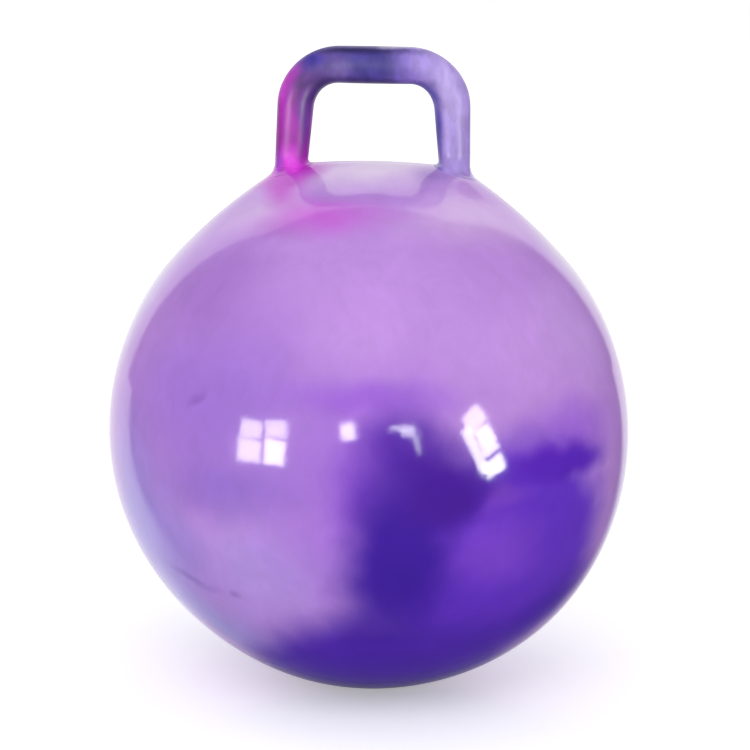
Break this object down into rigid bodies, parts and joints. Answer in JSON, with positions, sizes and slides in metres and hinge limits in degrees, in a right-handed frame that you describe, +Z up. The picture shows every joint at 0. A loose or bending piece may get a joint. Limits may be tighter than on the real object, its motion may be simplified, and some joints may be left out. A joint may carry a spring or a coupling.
{
  "type": "hopper ball",
  "caption": "Large inflatable bouncing ball of marbled soft plastic, with a closed loop handle on top and a plugged air valve on its back.",
  "frame": {"origin": "centre of the small flat patch on which the inflated ball stands, at floor level", "axes": "+Z up through the handle, X along the grip between the two legs, +Y out of the back, where the valve is; the pictured side faces -Y"},
  "size_m": [0.4498, 0.4498, 0.5535],
  "materials": {
    "marbled_skin": "gloss",
    "marbled_handle": "gloss",
    "valve_seat": "gloss",
    "valve_plug": "satin"
  },
  "bodies": {
    "ball": {"ball_skin": "marbled_skin", "loop_handle": "marbled_handle", "valve_seat": "valve_seat"},
    "plug": {"valve_plug": "valve_plug"}
  },
  "joints": [
    {"name": "plug_pull", "type": "slide", "parent": "ball", "child": "plug", "axis": [0, 0.8829, 0.4695], "range_m": [0, 0.03]}
  ]
}
